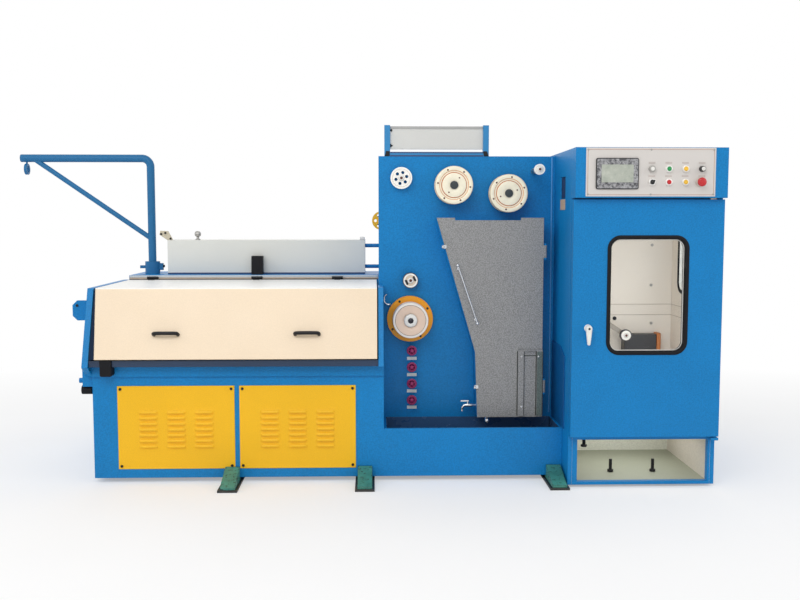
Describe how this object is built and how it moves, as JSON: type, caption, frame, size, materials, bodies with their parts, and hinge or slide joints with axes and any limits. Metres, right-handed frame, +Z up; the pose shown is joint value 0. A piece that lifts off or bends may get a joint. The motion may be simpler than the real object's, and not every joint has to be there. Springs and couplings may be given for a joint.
{
  "type": "wire drawing machine",
  "caption": "Wire drawing machine: louvred base with hinged drawing chamber lid, annealer panel with sheaves and capstan, and a spooler cabinet with glazed door and controls.",
  "frame": {"origin": "on the floor, under the middle of the whole machine's box", "axes": "+X to the machine's right along its length, -Y towards the operator's front, +Z up"},
  "size_m": [3.492, 1.54, 1.691],
  "materials": {
    "blue_paint": "semi-gloss sprayed enamel",
    "cream_paint": "semi-gloss sprayed enamel",
    "yellow_paint": "textured powder coat",
    "grey_paint": "matt sprayed enamel",
    "hammer_grey": "hammered enamel",
    "orange_paint": "gloss enamel",
    "green_paint": "worn enamel",
    "black_paint": "satin black",
    "dark_tray": "oily dark enamel",
    "beige_lining": "matt enamel",
    "bright_steel": "polished",
    "brushed_steel": "turned and brushed",
    "sheave_ceramic": "smooth glazed face",
    "capstan_steel": "turned face",
    "magenta_plastic": "moulded",
    "white_plastic": "moulded",
    "plate_grey": "fine matt sheet",
    "screen_plastic": "moulded bezel",
    "button_plastic": "moulded caps in bright bezels",
    "rubber": "matt",
    "clear_pane": "clear",
    "drive_grey": "matt"
  },
  "bodies": {
    "machine": {"base_frame": "blue_paint", "drip_tray": "dark_tray", "louvred_panels": "yellow_paint", "foot_wedges": "green_paint", "foot_plates": "black_paint", "chamber_sides": "blue_paint", "oil_bath": "dark_tray", "gearbox_housing": "blue_paint", "drawing_cones": "brushed_steel", "lid_hinges": "black_paint", "service_box": "grey_paint", "service_fittings": "beige_lining", "rubber_stop": "rubber", "arm_socket": "blue_paint", "end_brackets": "blue_paint", "annealer_housing": "blue_paint", "annealer_panel": "blue_paint", "conduits": "blue_paint", "board_frame": "blue_paint", "top_board": "grey_paint", "annealing_chamber": "blue_paint", "drain_tap": "bright_steel", "capstan_ring": "orange_paint", "wheel_axles": "brushed_steel", "cabinet_left_wall": "blue_paint", "cabinet_right_wall": "blue_paint", "side_gasket": "rubber", "side_window": "clear_pane", "cabinet_back_wall": "beige_lining", "cabinet_rear_housing": "blue_paint", "leveling_bolts": "brushed_steel", "cabinet_floors": "beige_lining", "cabinet_front_frame": "blue_paint", "control_header": "blue_paint", "control_plate": "plate_grey", "touch_screen": "screen_plastic", "push_buttons": "button_plastic", "guide_arm": "brushed_steel", "traverse_drive": "drive_grey"},
    "lid": {"lid": "cream_paint", "lid_fittings": "black_paint"},
    "swing_arm": {"swing_arm": "blue_paint"},
    "chamber_door": {"chamber_door": "hammer_grey", "chamber_door_handle": "bright_steel"},
    "spool_door": {"spool_door": "blue_paint", "door_gasket": "rubber", "door_glass": "clear_pane"},
    "door_handle": {"door_handle": "white_plastic"},
    "left_sheave": {"left_sheave": "sheave_ceramic"},
    "right_sheave": {"right_sheave": "sheave_ceramic"},
    "upper_guide_pulley": {"upper_guide_pulley": "white_plastic"},
    "corner_pulley": {"corner_pulley": "white_plastic"},
    "entry_pulley": {"entry_pulley": "white_plastic"},
    "capstan": {"capstan": "capstan_steel"},
    "rear_wheel": {"rear_wheel": "orange_paint"},
    "winder_pulley": {"winder_pulley": "white_plastic"},
    "valve_wheel_1": {"valve_wheel_1": "magenta_plastic"},
    "valve_wheel_2": {"valve_wheel_2": "magenta_plastic"},
    "valve_wheel_3": {"valve_wheel_3": "magenta_plastic"},
    "valve_wheel_4": {"valve_wheel_4": "magenta_plastic"}
  },
  "joints": [
    {"name": "lid_hinge", "type": "hinge", "parent": "machine", "child": "lid", "pos_m": [0, 0.185, 0.921], "axis": [-1, 0, 0], "range_deg": [0, 100]},
    {"name": "arm_swivel", "type": "hinge", "parent": "machine", "child": "swing_arm", "pos_m": [-1.046, 0.355, 0.935], "axis": [0, 0, -1], "range_deg": [-90, 90]},
    {"name": "chamber_door_hinge", "type": "hinge", "parent": "machine", "child": "chamber_door", "pos_m": [1.001, -0.37, 0.8], "axis": [0, 0, 1], "range_deg": [0, 90]},
    {"name": "spool_door_hinge", "type": "hinge", "parent": "machine", "child": "spool_door", "pos_m": [1.734, -0.683, 0.8], "axis": [0, 0, 1], "range_deg": [0, 110]},
    {"name": "door_handle_turn", "type": "hinge", "parent": "spool_door", "child": "door_handle", "pos_m": [1.138, -0.695, 0.745], "axis": [0, -1, 0], "range_deg": [0, 90]},
    {"name": "left_sheave_spin", "type": "hinge", "parent": "machine", "child": "left_sheave", "pos_m": [0.563, -0.245, 1.398], "axis": [0, 1, 0], "continuous": true},
    {"name": "right_sheave_spin", "type": "hinge", "parent": "machine", "child": "right_sheave", "pos_m": [0.828, -0.245, 1.359], "axis": [0, 1, 0], "continuous": true},
    {"name": "upper_guide_pulley_spin", "type": "hinge", "parent": "machine", "child": "upper_guide_pulley", "pos_m": [0.31, -0.245, 1.434], "axis": [0, 1, 0], "continuous": true},
    {"name": "corner_pulley_spin", "type": "hinge", "parent": "machine", "child": "corner_pulley", "pos_m": [0.96, -0.245, 1.469], "axis": [0, 1, 0], "continuous": true},
    {"name": "entry_pulley_spin", "type": "hinge", "parent": "machine", "child": "entry_pulley", "pos_m": [0.355, -0.245, 0.935], "axis": [0, 1, 0], "continuous": true},
    {"name": "capstan_spin", "type": "hinge", "parent": "machine", "child": "capstan", "pos_m": [0.353, -0.245, 0.745], "axis": [0, 1, 0], "continuous": true},
    {"name": "rear_wheel_spin", "type": "hinge", "parent": "machine", "child": "rear_wheel", "pos_m": [0.217, 0.352, 1.227], "axis": [0, 1, 0], "continuous": true},
    {"name": "winder_pulley_spin", "type": "hinge", "parent": "machine", "child": "winder_pulley", "pos_m": [1.462, -0.115, 0.643], "axis": [0, 1, 0], "continuous": true},
    {"name": "valve_wheel_1_spin", "type": "hinge", "parent": "machine", "child": "valve_wheel_1", "pos_m": [0.361, -0.245, 0.59], "axis": [0, 1, 0], "continuous": true},
    {"name": "valve_wheel_2_spin", "type": "hinge", "parent": "machine", "child": "valve_wheel_2", "pos_m": [0.361, -0.245, 0.508], "axis": [0, 1, 0], "continuous": true},
    {"name": "valve_wheel_3_spin", "type": "hinge", "parent": "machine", "child": "valve_wheel_3", "pos_m": [0.361, -0.245, 0.426], "axis": [0, 1, 0], "continuous": true},
    {"name": "valve_wheel_4_spin", "type": "hinge", "parent": "machine", "child": "valve_wheel_4", "pos_m": [0.361, -0.245, 0.344], "axis": [0, 1, 0], "continuous": true}
  ]
}
